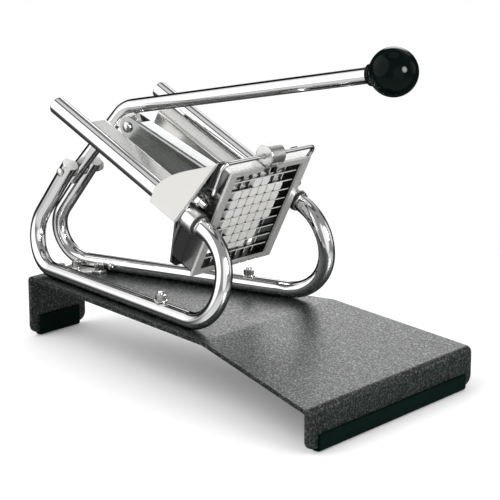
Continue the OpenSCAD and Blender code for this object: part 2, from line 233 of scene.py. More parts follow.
def folded(centre_line, thickness, ends):
    """Bent sheet: a centre line in a plane, given thickness, between the two places ends(u, v, i) gives."""
    bm = bmesh.new()
    line = [Vector(point) for point in centre_line]
    rows = []
    for i, point in enumerate(line):
        along = (line[min(i + 1, len(line) - 1)] - line[max(i - 1, 0)]).normalized()
        across = Vector((-along.y, along.x)) * thickness / 2
        rows.append([[bm.verts.new(place) for place in ends(point.x + d.x, point.y + d.y, i)]
                     for d in (across, -across)])
    for (outer, inner), (next_outer, next_inner) in zip(rows, rows[1:]):
        bm.faces.new((outer[0], outer[1], next_outer[1], next_outer[0]))
        bm.faces.new((inner[1], inner[0], next_inner[0], next_inner[1]))
        for k in (0, 1):
            bm.faces.new((outer[k], next_outer[k], next_inner[k], inner[k]))
    for outer, inner in (rows[0], rows[-1]):
        bm.faces.new((outer[0], outer[1], inner[1], inner[0]))
    return bm


def hexagon(across_flats, height, bore):
    """Nut with its corners turned off at both ends."""
    bm = bmesh.new()
    face = across_flats / 2
    count = 72
    angles = [2 * math.pi * i / count for i in range(count)]
    reach = [face / math.cos((a + math.pi / 6) % (math.pi / 3) - math.pi / 6) for a in angles]
    drop = [max(r - face * 0.96, 0) * math.tan(math.radians(32)) for r in reach]
    flat = [face * 0.96] * count
    hole = [bore / 2] * count
    chamfer = [bore / 2 + 0.4] * count
    level = [0] * count
    rings = [(hole, [0.4] * count), (chamfer, level), (flat, level), (reach, drop),
             (reach, [height - d for d in drop]), (flat, [height] * count),
             (chamfer, [height] * count), (hole, [height - 0.4] * count)]
    rings = [[bm.verts.new((r * math.cos(a), r * math.sin(a), z)) for a, r, z in zip(angles, radii, heights)]
             for radii, heights in rings]
    for first, second in zip(rings, rings[1:] + rings[:1]):
        bridge(bm, first, second)
    return bm


def threaded(diameter, start, stop, pitch=0.8, sides=36):
    """Threaded shank between two heights, a true helix with chamfered ends."""
    bm = bmesh.new()
    depth = 0.55 * pitch
    count = int((stop - start) / pitch * 6)
    rings = []
    for k in range(count + 1):
        z = start + (stop - start) * k / count
        ring = []
        for i in range(sides):
            wave = abs(((z / pitch - i / sides) % 1) * 2 - 1)
            radius = diameter / 2 - depth * (1 - wave)
            radius = min(radius, diameter / 2 - depth + min(z - start, stop - z))
            angle = 2 * math.pi * i / sides
            ring.append(bm.verts.new((radius * math.cos(angle), radius * math.sin(angle), z)))
        rings.append(ring)
    bridge(bm, [bm.verts.new((0, 0, start))], rings[0])
    for first, second in zip(rings, rings[1:]):
        bridge(bm, first, second)
    bridge(bm, rings[-1], [bm.verts.new((0, 0, stop))])
    return bm


def round_head(diameter, height, down=False):
    """Low domed bolt head standing on z = 0, or hanging from it."""
    radius = diameter / 2
    dome = [(radius * math.cos(a), height * 0.35 + height * 0.65 * math.sin(a))
            for a in (math.radians(d) for d in range(0, 91, 10))]
    profile = [(0, 0), (radius - 0.3, 0), (radius, 0.3)] + dome
    profile[-1] = (0, height)
    return lathe([(r, -z) for r, z in profile] if down else profile)


# ---------------------------------------------------------------- objects

def to_object(name, bm):
    mesh = bpy.data.meshes.new(name)
    bmesh.ops.recalc_face_normals(bm, faces=bm.faces)
    bm.to_mesh(mesh)
    bm.free()
    obj = bpy.data.objects.new(name, mesh)
    bpy.context.scene.collection.objects.link(obj)
    return obj


def settle(obj):
    """The object's mesh with its modifiers applied."""
    bpy.context.view_layer.update()
    graph = bpy.context.evaluated_depsgraph_get()
    mesh = bpy.data.meshes.new_from_object(obj.evaluated_get(graph))
    obj.modifiers.clear()
    obj.data = mesh


def cut(bm, tool, operation="DIFFERENCE"):
    """Exact boolean of two meshes."""
    target = to_object("target", bm)
    cutter = to_object("cutter", tool)
    change = target.modifiers.new("cut", "BOOLEAN")
    change.object = cutter
    change.operation = operation
    change.solver = "EXACT"
    settle(target)
    result = bmesh.new()
    result.from_mesh(target.data)
    bmesh.ops.dissolve_degenerate(result, dist=1e-4, edges=result.edges)
    bpy.data.objects.remove(target)
    bpy.data.objects.remove(cutter)
    return result


def piece(name, bm, place, look, body, nodes, edge=0.0, segments=3, sharp=38):
    """Mesh drawn in millimetres, its edges rounded, put in place on its body for its CAD nodes."""
    obj = to_object(name, bm)
    if edge:
        soften = obj.modifiers.new("edges", "BEVEL")
        soften.width = edge
        soften.segments = segments
        soften.limit_method = "ANGLE"
        soften.angle_limit = math.radians(sharp)
        settle(obj)
    obj.data.transform(place)
    obj.data.shade_smooth()
    obj.data.set_sharp_from_angle(angle=math.radians(sharp))
    weighted = obj.modifiers.new("normals", "WEIGHTED_NORMAL")
    weighted.keep_sharp = True
    settle(obj)
    obj.data.name = name
    obj.data.materials.clear()
    obj.data.materials.append(look)
    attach(obj, body)
    if nodes:
        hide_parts(*nodes)
    return obj


# ---------------------------------------------------------------- materials

class Look:
    """Node tree of one material, with short calls for the nodes it needs."""

    def __init__(self, name, colour, metallic, roughness):
        self.material = bpy.data.materials.new(name)
        self.material.use_nodes = True
        self.tree = self.material.node_tree
        self.shader = self.tree.nodes["Principled BSDF"]
        self.shader.inputs["Base Color"].default_value = (*colour, 1)
        self.shader.inputs["Metallic"].default_value = metallic
        self.shader.inputs["Roughness"].default_value = roughness

    def node(self, kind, inputs=(), **settings):
        made = self.tree.nodes.new(kind)
        for name, value in settings.items():
            setattr(made, name, value)
        for name, value in dict(inputs).items():
            if isinstance(value, bpy.types.NodeSocket):
                self.tree.links.new(value, made.inputs[name])
            else:
                made.inputs[name].default_value = value
        return made

    def coordinates(self, scale=(1, 1, 1), turn=0.0):
        """Object coordinates, turned about Y so that X lies along a slope, then stretched."""
        source = self.node("ShaderNodeTexCoord").outputs["Object"]
        turned = self.node("ShaderNodeMapping", {"Vector": source, "Rotation": (0, -turn, 0)})
        return self.node("ShaderNodeMapping", {"Vector": turned.outputs[0], "Scale": scale}).outputs[0]

    def rail_place(self):
        """Coordinates down the rails, across them and square to them, in metres."""
        source = self.coordinates((1, 1, 1), SLOPE)
        start = Matrix.Rotation(-SLOPE, 3, "Y") @ RAIL_START * MM
        moved = self.node("ShaderNodeVectorMath", {0: source, 1: start}, operation="SUBTRACT").outputs[0]
        return self.node("ShaderNodeSeparateXYZ", {0: moved}).outputs

    def noise(self, vector, scale, detail=3.0):
        return self.node("ShaderNodeTexNoise", {"Vector": vector, "Scale": scale, "Detail": detail}
                         ).outputs["Fac"]

    def ramp(self, value, low, high, low_out, high_out):
        return self.node("ShaderNodeMapRange", {"Value": value, "From Min": low, "From Max": high,
                                                "To Min": low_out, "To Max": high_out}).outputs[0]

    def add(self, first, second, operation="ADD"):
        return self.node("ShaderNodeMath", {0: first, 1: second}, operation=operation).outputs[0]

    def colours(self, value, low, high):
        mixed = self.node("ShaderNodeMix", {"Factor": value, 6: (*low, 1), 7: (*high, 1)},
                          data_type="RGBA")
        self.tree.links.new(mixed.outputs[2], self.shader.inputs["Base Color"])

    def rough(self, value):
        self.tree.links.new(value, self.shader.inputs["Roughness"])

    def bump(self, height, distance, strength=1.0):
        made = self.node("ShaderNodeBump", {"Height": height, "Distance": distance, "Strength": strength})
        self.tree.links.new(made.outputs[0], self.shader.inputs["Normal"])


def hammered_paint():
    """Dark hammered enamel: small dimples with paler crests, under a broken coat of gloss."""
    look = Look("hammered_paint", (0.02, 0.023, 0.022), 0.0, 0.4)
    place = look.coordinates()
    grains = look.noise(place, 680, 2)
    drift = look.noise(place, 200, 2)
    height = look.add(grains, look.add(drift, 0.6, "MULTIPLY"))
    look.bump(height, 0.003, 1.0)
    look.shader.inputs["Specular IOR Level"].default_value = 0.1
    look.tree.links.new(look.ramp(grains, 0.38, 0.62, 0.5, 0.9), look.shader.inputs["Coat Weight"])
    look.shader.inputs["Coat Roughness"].default_value = 0.36
    crests = look.ramp(grains, 0.53, 0.64, 0, 1)
    look.colours(crests, (0.0006, 0.0026, 0.002), (0.092, 0.112, 0.104))
    look.rough(look.ramp(grains, 0.4, 0.6, 0.5, 0.34))
    return look.material


def chrome(name, turn=0.0, tone=0.8):
    """Bright chrome plate with faint drawing lines, a few finger marks and a black edge tint, which paints
    dark reflection along its outlines.
    """
    look = Look(name, (tone, tone, tone), 1.0, 0.06)
    # Black edge tint: a painted dark reflection along the chrome's outlines.
    look.shader.inputs["Specular Tint"].default_value = (0, 0, 0, 1)
    lines = look.noise(look.coordinates((12, 900, 900), turn), 1, 2)
    marks = look.noise(look.coordinates(), 35, 3)
    look.rough(look.add(look.ramp(marks, 0.45, 0.75, 0.025, 0.08), look.ramp(lines, 0.3, 0.7, 0, 0.02)))
    look.colours(marks, [tone * 0.95] * 3, [tone * 1.05] * 3)
    look.bump(lines, 0.00001, 0.12)
    return look.material


def satin(name, low, high, roughness, turn=SLOPE, stretch=(25, 2600, 2600), depth=0.00003, metal=1.0):
    """Sheet steel with a fine grain rubbed one way."""
    look = Look(name, high, metal, roughness)
    grain = look.noise(look.coordinates(stretch, turn), 1, 5)
    cloud = look.noise(look.coordinates(), 22, 2)
    look.colours(look.add(look.add(grain, 0.7, "MULTIPLY"), look.add(cloud, 0.3, "MULTIPLY")), low, high)
    look.rough(look.ramp(grain, 0.25, 0.75, roughness - 0.07, roughness + 0.1))
    look.bump(grain, depth, 0.35)
    return look.material


def zinc():
    """Bright zinc plate of small fixings, slightly uneven."""
    look = Look("zinc_fixings", (0.72, 0.72, 0.7), 1.0, 0.2)
    spots = look.noise(look.coordinates(), 700, 4)
    look.colours(spots, (0.62, 0.62, 0.6), (0.82, 0.82, 0.8))
    look.rough(look.ramp(spots, 0.3, 0.7, 0.14, 0.3))
    look.bump(spots, 0.00002, 0.3)
    return look.material


def blade_steel_painted_light(name, front):
    """Thin blade stock: its sides painted dark, painted shade in the grid, and its front edge painted pale, a
    painted highlight.
    """
    look = Look(name, (0.3, 0.3, 0.3), 0.9, 0.2)
    edge = look.ramp(look.rail_place()["X"], (front - 0.35) * MM, (front - 0.25) * MM, 0, 1)
    grain = look.noise(look.coordinates((2600, 200, 200), SLOPE), 1, 4)
    # Painted light: the dark sides stand for the shade inside the grid, the pale, less metallic front edge
    # for the light along it.
    look.colours(edge, (0.1, 0.105, 0.1), (0.85, 0.85, 0.83))
    look.tree.links.new(look.ramp(edge, 0, 1, 0.95, 0.1), look.shader.inputs["Metallic"])
    look.rough(look.ramp(grain, 0.25, 0.75, 0.12, 0.3))
    look.bump(grain, 0.00002, 0.3)
    return look.material


def window_steel_painted_shade():
    """Frame steel with a rubbed grain, bright outside and painted dark inside its window, painted shade."""
    look = Look("window_steel_painted_shade", (0.7, 0.7, 0.7), 1.0, 0.3)
    place = look.rail_place()
    beside = look.add(look.add(place["Y"], 0, "ABSOLUTE"), (GRID_HALF + 0.3) * MM, "LESS_THAN")
    below = look.add(place["Z"], (GRID_HIGH + 0.3) * MM, "LESS_THAN")
    grain = look.noise(look.coordinates((25, 2600, 2600), SLOPE), 1, 5)
    # Painted shade: the faces inside the window are coloured near black.
    look.colours(look.add(beside, below, "MULTIPLY"), (0.84, 0.84, 0.83), (0.05, 0.055, 0.05))
    look.rough(look.ramp(grain, 0.25, 0.75, 0.2, 0.36))
    look.bump(grain, 0.00002, 0.3)
    return look.material


def turned_steel():
    """Knob turned on a lathe, with fine rings left by the tool."""
    look = Look("turned_steel", (0.6, 0.6, 0.59), 1.0, 0.3)
    rings = look.noise(look.coordinates((80, 5200, 80)), 1, 2)
    look.colours(rings, (0.52, 0.52, 0.51), (0.7, 0.7, 0.69))
    look.rough(look.ramp(rings, 0.3, 0.7, 0.22, 0.36))
    look.bump(rings, 0.00003, 0.4)
    return look.material


def plastic(name, low, high, roughness, grain=1500, depth=0.00002, shine=0.5):
    """Moulded plastic or rubber with a fine mould grain."""
    look = Look(name, high, 0.0, roughness)
    fine = look.noise(look.coordinates(), grain, 4)
    broad = look.noise(look.coordinates(), 45, 3)
    look.colours(broad, low, high)
    look.rough(look.ramp(fine, 0.3, 0.7, roughness * 0.85, roughness * 1.2))
    look.bump(fine, depth, 0.3)
    look.shader.inputs["Specular IOR Level"].default_value = shine
    return look.material


PAINT = hammered_paint()
RUBBER = plastic("black_rubber", (0.0008, 0.004, 0.003), (0.0016, 0.007, 0.0055), 0.6, 900, 0.00006, 0.03)
CHROME = chrome("chrome_tube")
CHROME_ROD = chrome("chrome_rod")
CHROME_RAIL = chrome("chrome_tube_sloping", SLOPE)
CAP = plastic("cap_plastic", (0.62, 0.62, 0.6), (0.72, 0.72, 0.7), 0.35)
SATIN = satin("satin_steel", (0.8, 0.8, 0.79), (0.9, 0.9, 0.89), 0.3)
BRUSHED = satin("brushed_sheet", (0.59, 0.588, 0.57), (0.67, 0.667, 0.65), 0.18, depth=0.00001, metal=0.8)
UPRIGHT_BLADES = blade_steel_painted_light("upright_blade_steel", UPRIGHT_FRONT)
LEVEL_BLADES = blade_steel_painted_light("level_blade_steel", LEVEL_FRONT)
WINDOW = window_steel_painted_shade()
FRAME_FACE = satin("frame_face_steel", (0.5, 0.5, 0.49), (0.58, 0.58, 0.57), 0.28, metal=0.35)
SHADED = satin("shaded_sheet", (0.12, 0.125, 0.12), (0.2, 0.205, 0.2), 0.22)
TURNED = turned_steel()
ZINC = zinc()
# Chrome at tone 0.34: polished steel darkened, painted shade and dark reflection on the head face and the
# pusher back in the grid.
POLISHED_PAINTED_SHADE = chrome("polished_sheet_painted_shade", SLOPE, 0.34)
WING = satin("rubbed_steel", (0.54, 0.535, 0.52), (0.6, 0.595, 0.58), 0.34)
CHEEK = satin("grey_sheet", (0.32, 0.335, 0.33), (0.42, 0.435, 0.43), 0.2)
GLOSS = plastic("black_knob", (0.0012, 0.0032, 0.0028), (0.002, 0.005, 0.0044), 0.06, 400, 0.00001, 0.08)
RING = plastic("black_ring", (0.01, 0.01, 0.01), (0.02, 0.02, 0.02), 0.45)
NYLON = plastic("white_nylon", (0.72, 0.71, 0.69), (0.8, 0.79, 0.77), 0.42)


# ---------------------------------------------------------------- base

def base_half(x):
    """Half the width of the base at x."""
    return REAR_HALF + (x - REAR_X) * (FRONT_HALF - REAR_HALF) / (FRONT_X - REAR_X)


def base_plate():
    """Bent sheet, wider towards the front, the lower corners of both flanges rounded."""
    corner = 8
    half_sheet = SHEET / 2
    fall = math.atan2(BASE_TOP - BASE_FRONT_Z, FRONT_X - BASE_BEND_X)
    front_z = BASE_FRONT_Z + half_sheet * math.tan(fall) - half_sheet / math.cos(fall)
    rear = REAR_X + half_sheet
    front = FRONT_X - half_sheet
    foot = [(0, FLANGE_FOOT + corner - corner * math.cos(math.radians(a))) for a in range(0, 91, 10)]
    bends = rounded([(rear, FLANGE_FOOT + corner), (rear, BASE_TOP - half_sheet),
                     (BASE_BEND_X - half_sheet * math.tan(fall / 2), BASE_TOP - half_sheet),
                     (front, front_z), (front, FLANGE_FOOT + corner)], [3.4, 14, 3.6])
    line = [(rear, z) for _, z in foot[:-1]] + bends + [(front, z) for _, z in reversed(foot[:-1])]
    middle = [Vector(point) for point in line]

    def ends(x, z, i):
        short = max(FLANGE_FOOT + corner - middle[i].y, 0)
        half = base_half(middle[i].x) - corner + math.sqrt(corner ** 2 - short ** 2)
        return (x, -half, z), (x, half, z)

    piece("base_plate_shell", folded(line, SHEET, ends), PLAIN, PAINT, "stand", ["base_plate"], edge=0.7)


def edge_trim(name, node, inner_x, outer_x, half, height, thick):
    """Rubber channel pushed on to the foot of a flange."""
    line = rounded([(inner_x - thick / 2, height), (inner_x - thick / 2, FLANGE_FOOT / 2),
                    (outer_x + thick / 2, FLANGE_FOOT / 2), (outer_x + thick / 2, height)],
                   [1.5, 1.5], 5)
    strip = folded(line, min(thick, FLANGE_FOOT) * 0.99, lambda x, z, i: ((x, -half, z), (x, half, z)))
    piece(name, strip, PLAIN, RUBBER, "stand", [node], edge=0.9)


def trims():
    for name, node, flange in (("front_trim_rubber", "front_trim", FRONT_X - SHEET),
                               ("rear_trim_rubber", "rear_trim", REAR_X)):
        low, high = (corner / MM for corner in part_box(node))
        edge_trim(name, node, flange, flange + SHEET, high.y, high.z, flange - low.x)


# ---------------------------------------------------------------- tubes

def leg_corners(side):
    """Corners of a leg's path, from its joint at the head to its top behind the pivot."""
    start = rail_point(HEAD_S + 6.2, side * RAIL_HALF, 0)
    height = BASE_TOP + LEG_D / 2
    front = Vector((LEG_FRONT[0], side * LEG_FRONT[1], height))
    rear = Vector((LEG_REAR[0], side * LEG_REAR[1], height))
    top = Vector((PIVOT.x, side * LEG_TOP_HALF, PIVOT.z))
    above = (top - rear).normalized() * 9
    return [start, rail_point(209.4, side * RAIL_HALF, 0), front, rear, top + above]


def leg_y(x, side):
    """Where the straight stretch along the base stands at x."""
    _, _, front, rear, _ = leg_corners(side)
    return rear.y + (front.y - rear.y) * (x - rear.x) / (front.x - rear.x)


def legs():
    for side, name in zip(SIDES, ("near", "far")):
        corners = leg_corners(side)
        path = rounded(corners, LEG_RADII, 20)
        piece(f"leg_{name}_tube", tube(path, LEG_D / 2), PLAIN, CHROME, "stand", [f"leg_{name}"])
        up = corners[-1] - corners[-2]
        dome = [(11.6 * math.sin(a), 11.6 * math.cos(a) - 9) for a in
                (math.radians(d) for d in (0, 6, 12, 18, 24, 30, 35))]
        cap = lathe(dome + [(6.95, 0.1), (6.95, 0), (LEG_D / 2 - 1.7, 0), (LEG_D / 2 - 1.7, -1.5), (0, -1.5)])
        piece(f"leg_{name}_cap", cap, standing_on(corners[-1], up), CAP, "stand", ["leg_caps"])


def rails():
    radius = RAIL_D / 2
    end = HEAD_S + 6
    for side, name in zip(SIDES, ("near", "far")):
        profile = [(0, 0)] + [(radius - 1.4 + 1.4 * math.sin(a), 1.4 - 1.4 * math.cos(a))
                              for a in (math.radians(d) for d in range(0, 91, 15))]
        rod = lathe(profile + [(radius, end), (0, end)])
        piece(f"rail_{name}_rod", rod, standing_on((0, side * RAIL_HALF, 0), (1, 0, 0), RAILS),
              CHROME_RAIL, "stand", [f"rail_{name}"])


def leg_fixings():
    for i, side in enumerate(SIDES):
        foot = Vector((LEG_BOLT_X, leg_y(LEG_BOLT_X, side), 0))
        under = foot + Vector((0, 0, BASE_TOP - SHEET))
        over = foot + Vector((0, 0, BASE_TOP + LEG_D))
        up = (0, 0, 1)
        piece(f"leg_bolt_{i}", threaded(SMALL_BOLT, 0, SHEET + LEG_D + 8), standing_on(under, up), ZINC,
              "stand", ["leg_bolts"])
        piece(f"leg_bolt_head_{i}", round_head(9, 3, True), standing_on(under, up), ZINC, "stand",
              ["leg_bolts"])
        piece(f"leg_washer_{i}", ring(11, 5.1, 1, 0.25), standing_on(over, up), ZINC, "stand",
              ["leg_washers"])
        piece(f"leg_nut_{i}", hexagon(*SMALL_NUT), standing_on(over + Vector((0, 0, 1)), up), ZINC, "stand",
              ["leg_nuts"])


def ring(outer, bore, length, edge=0.5, inner_edge=0.2):
    """Turned ring with chamfered rims."""
    big, small = outer / 2, bore / 2
    rim = [(small, inner_edge), (small + inner_edge, 0), (big - edge, 0), (big - edge * 0.3, edge * 0.3),
           (big, edge)]
    return lathe(rim + [(radius, length - z) for radius, z in reversed(rim)], closed=True)


def tie_strap():
    """Plate across the rear of the base, its front corners drawn out into ears."""
    half = [(-182, 14), (-151, 17.5), (-141.5, 18.9), (-141.5, 10.5), (-151, 9)]
    thick = STRAP_TOP - BASE_TOP
    outline = [(x, y, BASE_TOP) for x, y in half] + [(x, -y, BASE_TOP) for x, y in reversed(half)]
    piece("tie_strap_sheet", slab(outline, (0, 0, thick)), PLAIN, SATIN, "stand", ["tie_strap"], edge=0.6)
    up = (0, 0, 1)
    for i, (x, y) in enumerate((x, side * y) for x, y in STRAP_FIXINGS for side in SIDES):
        under = standing_on((x, y, BASE_TOP - SHEET), up)
        piece(f"strap_bolt_{i}", threaded(SMALL_BOLT, 0, SHEET + 10), under, ZINC, "stand", ["strap_bolts"])
        piece(f"strap_bolt_head_{i}", round_head(9, 3, True), under, ZINC, "stand", ["strap_bolts"])
        piece(f"strap_washer_{i}", ring(8.6, 5.1, 0.8, 0.2), standing_on((x, y, STRAP_TOP), up), ZINC,
              "stand", ["strap_washers"])
        piece(f"strap_nut_{i}", hexagon(*SMALL_NUT), standing_on((x, y, STRAP_TOP + 0.8), up), ZINC,
              "stand", ["strap_nuts"])


def leg_screws():
    """Small screws in the inner sides of the legs."""
    for side, name in zip(SIDES, ("near", "far")):
        face = abs(leg_y(LEG_SCREW_X, side)) - LEG_D / 2 - 0.8
        place = standing_on((LEG_SCREW_X, side * face, BASE_TOP + LEG_D / 2 - 0.5), (0, -side, 0))
        piece(f"leg_screw_{name}", round_head(6.4, 2.6), place, ZINC, "stand", ["leg_screws"])


# ---------------------------------------------------------------- cutting head

def head_plate():
    """Face plate round the grid, with a wing folded back from each sloping side."""
    edge = [(GRID_HALF, 47.5), (48.8, 47.5), (48.8, 46), (73.8, -3.6), (60, -46), (52, -51)]
    outline = [(HEAD_S, y, n) for y, n in edge] + [(HEAD_S, -y, n) for y, n in reversed(edge)]
    outline += [(HEAD_S, -GRID_HALF, GRID_LOW), (HEAD_S, GRID_HALF, GRID_LOW)]
    face = slab(outline, (-HEAD_SHEET, 0, 0))
    piece("head_plate_face", face, RAILS, POLISHED_PAINTED_SHADE, "stand", ["head_plate"], edge=0.4)
    wing_thick = 1.2
    top, low = Vector((48.8, 46)), Vector((73.8, -3.6))
    along = (low - top).normalized()
    inward = Vector((along.y, -along.x)) * wing_thick
    front = HEAD_S - HEAD_SHEET
    rear_edge = bezier((front, 45), (147, 30), (130.5, 20), (130.5, 4))
    corner = [Vector((130.5 + 3.5 * t, 4 - 8.2 * t ** 1.5)) for t in (0.3, 0.6, 0.85, 1)]
    for side, name in zip(SIDES, ("near", "far")):
        points = []
        for s, n in rear_edge + corner + [Vector((front, -4.2))]:
            spot = top + along * ((n - top.y) / along.y)
            points.append((s, side * spot.x, spot.y))
        sheet = slab(points, (0, side * inward.x, inward.y))
        piece(f"head_wing_{name}", sheet, RAILS, WING, "stand", ["head_wings"], edge=0.35)


def hopper():
    """Folded trough that carries the food down to the grid."""
    half = [(48.5, 0.25), (31.75, 0.25), (31.75, -11.65), (14, -36.75)]
    line = rounded(half + [(-y, n) for y, n in reversed(half)], [2, 4, 4, 4, 4, 2])
    front = HEAD_S - HEAD_SHEET
    trough = folded(line, 1.5, lambda y, n, i: ((HOPPER_S, y, n), (front, y, n)))
    piece("hopper_trough", trough, RAILS, BRUSHED, "stand", ["hopper"], edge=0.35)


def blade_box():
    """Open channel round the blade frame, in front of the head plate."""
    line = rounded([(-46.25, 44), (-46.25, -50.25), (46.25, -50.25), (46.25, 44)], [2, 2])
    box = folded(line, 1.5, lambda y, n, i: ((HEAD_S, y, n), (178, y, n)))
    piece("blade_box_channel", box, RAILS, SHADED, "stand", ["blade_box"], edge=0.35)


def leg_joints():
    """Sockets, collars, clamp rings and clamp fixings where rails and legs meet at the head."""
    bore = LEG_D + FIT
    for side, name in zip(SIDES, ("near", "far")):
        def at(s, y=RAIL_HALF, n=0):
            return standing_on((s, side * y, n), (1, 0, 0), RAILS)
        piece(f"socket_{name}", ring(18.5, bore, 12, 0.8), at(HEAD_S), SATIN, "stand", ["sockets"])
        piece(f"collar_{name}", ring(18, bore, 2.6, 0.9), at(HEAD_S + 12), RING, "stand", ["collars"])
        piece(f"clamp_ring_{name}", ring(16.4, bore, 1.4, 0.4), at(HEAD_S + 14.6), ZINC, "stand",
              ["clamp_rings"])
        back = at(HEAD_S - HEAD_SHEET, 58, 15)
        piece(f"clamp_bolt_{name}", threaded(SMALL_BOLT, 0, 11), back, ZINC, "stand", ["clamp_bolts"])
        piece(f"clamp_bolt_head_{name}", round_head(9, 2.5, True), back, ZINC, "stand", ["clamp_bolts"])
        piece(f"clamp_nut_{name}", hexagon(*SMALL_NUT), at(HEAD_S, 58, 15), ZINC, "stand", ["clamp_nuts"])


def blade_frame():
    """Frame that holds the blades: a body inside the box and a flange in front of it."""
    pitch = 2 * GRID_HALF / GRID_COLUMNS
    window = ((HEAD_S, -GRID_HALF, GRID_LOW), (HEAD_S + 18, GRID_HALF, GRID_HIGH))
    body = cut(block((FRAME_REAR, -45.4, -49.4), (FRAME_FRONT, 45.4, 47.5)), block(*window))
    body = cut(body, block((HEAD_S, -NOTCH_HALF, 44.4), (182, NOTCH_HALF, 50)))
    piece("blade_frame_body", body, RAILS, WINDOW, "stand", ["blade_frame"], edge=0.3)
    flange = cut(block((FRAME_FRONT, -48.5, -51.5), (FLANGE_FRONT, 48.5, 47.5)), block(*window))
    flange = cut(flange, block((170, -NOTCH_HALF, 42), (182, NOTCH_HALF, 50)))
    for i in range(1, GRID_COLUMNS):
        y = -GRID_HALF + i * pitch
        flange = cut(flange, block((170, y - 0.8, -60), (182, y + 0.8, GRID_LOW - 0.9)))
    piece("blade_frame_flange", flange, RAILS, FRAME_FACE, "stand", ["blade_frame"], edge=0.3)


def blades():
    """Upright and level blades, each ground to an edge on the side that meets the food."""
    pitch = 2 * GRID_HALF / GRID_COLUMNS
    for i in range(1, GRID_COLUMNS):
        y = -GRID_HALF + i * pitch
        section = [(170, y), (171, y - BLADE / 2), (UPRIGHT_FRONT, y - BLADE / 2),
                   (UPRIGHT_FRONT, y + BLADE / 2), (171, y + BLADE / 2)]
        blade = slab([(s, v, GRID_LOW) for s, v in section], (0, 0, GRID_HIGH - GRID_LOW))
        piece(f"blade_upright_{i}", blade, RAILS, UPRIGHT_BLADES, "stand", ["blades_upright"])
    pitch = (GRID_HIGH - GRID_LOW) / GRID_ROWS
    for i in range(1, GRID_ROWS):
        n = GRID_LOW + i * pitch
        section = [(173.5, n), (174.5, n - BLADE / 2), (LEVEL_FRONT, n - BLADE / 2),
                   (LEVEL_FRONT, n + BLADE / 2), (174.5, n + BLADE / 2)]
        blade = slab([(s, -GRID_HALF, v) for s, v in section], (0, 2 * GRID_HALF, 0))
        piece(f"blade_level_{i}", blade, RAILS, LEVEL_BLADES, "stand", ["blades_level"])


# ---------------------------------------------------------------- bail

def bail():
    half = [(172, 45.6, 22), (172, 50.5, 22), (175, 56, 54)]
    corners = [(s, -y, n) for s, y, n in half] + list(reversed(half))
    wire = tube(rounded(corners, [2.5, 5, 5, 2.5]), 1.7, 24, 0.5)
    piece("bail_wire", wire, RAILS, CHROME_ROD, "bail", ["bail"])
    knob = ring(18, 3.5, 17, 1.0, 0.4)
    piece("bail_roller", knob, standing_on((175, -8.5, 54), (0, 1, 0), RAILS), TURNED, "bail", ["bail_knob"])


# ---------------------------------------------------------------- lever

def pivot():
    head = (PIVOT.x, -21.4, PIVOT.z)
    side = (0, 1, 0)
    piece("pivot_bolt_shank", threaded(PIN_D, 0, 50.2, 1.0), standing_on(head, side), ZINC, "stand",
          ["pivot_bolt"])
    piece("pivot_bolt_head", round_head(7.4, 2, True), standing_on(head, side), ZINC, "stand",
          ["pivot_bolt"])
    piece("pivot_nut_far", hexagon(10, 5, 6.1), standing_on((PIVOT.x, 21.4, PIVOT.z), side), ZINC, "stand",
          ["pivot_nut"])
    for y, name in zip((-6.85, 6.25), ("near", "far")):
        place = standing_on((PIVOT.x, y, PIVOT.z), side)
        piece(f"pivot_washer_{name}", ring(12, 6.1, 0.6, 0.25), place, ZINC, "stand", ["pivot_washers"])


def lever():
    arm = (ELBOW - PIVOT).normalized()
    shaft = (BALL - ELBOW).normalized()
    path = rounded([PIVOT - arm * LEVER_TAIL, ELBOW, BALL - shaft * 5], [32], 24)
    piece("lever_bar", tube(path, LEVER_D / 2, 56), PLAIN, CHROME_ROD, "lever", ["lever_rod"])
    x, z = PIN.x, PIN.z
    outline = [(ELBOW.x - 10, ELBOW.z - 16)] + arc((x, z), 7.6, 233, 402, 20)
    outline += [(ELBOW.x + 13, ELBOW.z - 0.5), (ELBOW.x - 6, ELBOW.z - 8)]
    lug = slab([(u, -3, v) for u, v in outline], (0, 6, 0))
    piece("lever_lug_plate", lug, PLAIN, BRUSHED, "lever", ["lever_lug"], edge=0.6)
    bolt = (x, -8.6, z)
    piece("link_bolt_shank", threaded(PIN_D, 0, 22.6, 1.0), standing_on(bolt, (0, 1, 0)), ZINC, "lever",
          ["link_bolt"])
    piece("link_bolt_head", round_head(9.5, 3, True), standing_on(bolt, (0, 1, 0)), ZINC, "lever",
          ["link_bolt"])
    piece("link_nut_far", hexagon(10, 4.5, 6.1), standing_on((x, 8.6, z), (0, 1, 0)), ZINC, "lever",
          ["link_nut"])


def ball():
    """Glossy ball with a short neck that runs into it in a small curve."""
    shaft = (BALL - ELBOW).normalized()
    radius = BALL_D / 2
    neck = 8.5
    join = math.degrees(math.asin((neck + 1.2) / radius))
    below = [(neck - 0.6, -radius - 3), (neck, -radius - 2.4)]
    sphere = [(radius * math.sin(a), -radius * math.cos(a)) for a in
              (math.radians(join + (180 - join) * i / 40) for i in range(41))]
    sphere[-1] = (0, radius)
    blend = [(neck, -radius + 0.2), (neck + 0.3, -radius + 1.4)]
    profile = [(0, -radius - 3)] + below + blend + sphere
    piece("ball_grip", lathe(profile, sides=96), standing_on(BALL, shaft), GLOSS, "lever", ["ball"])


# ---------------------------------------------------------------- link and pusher

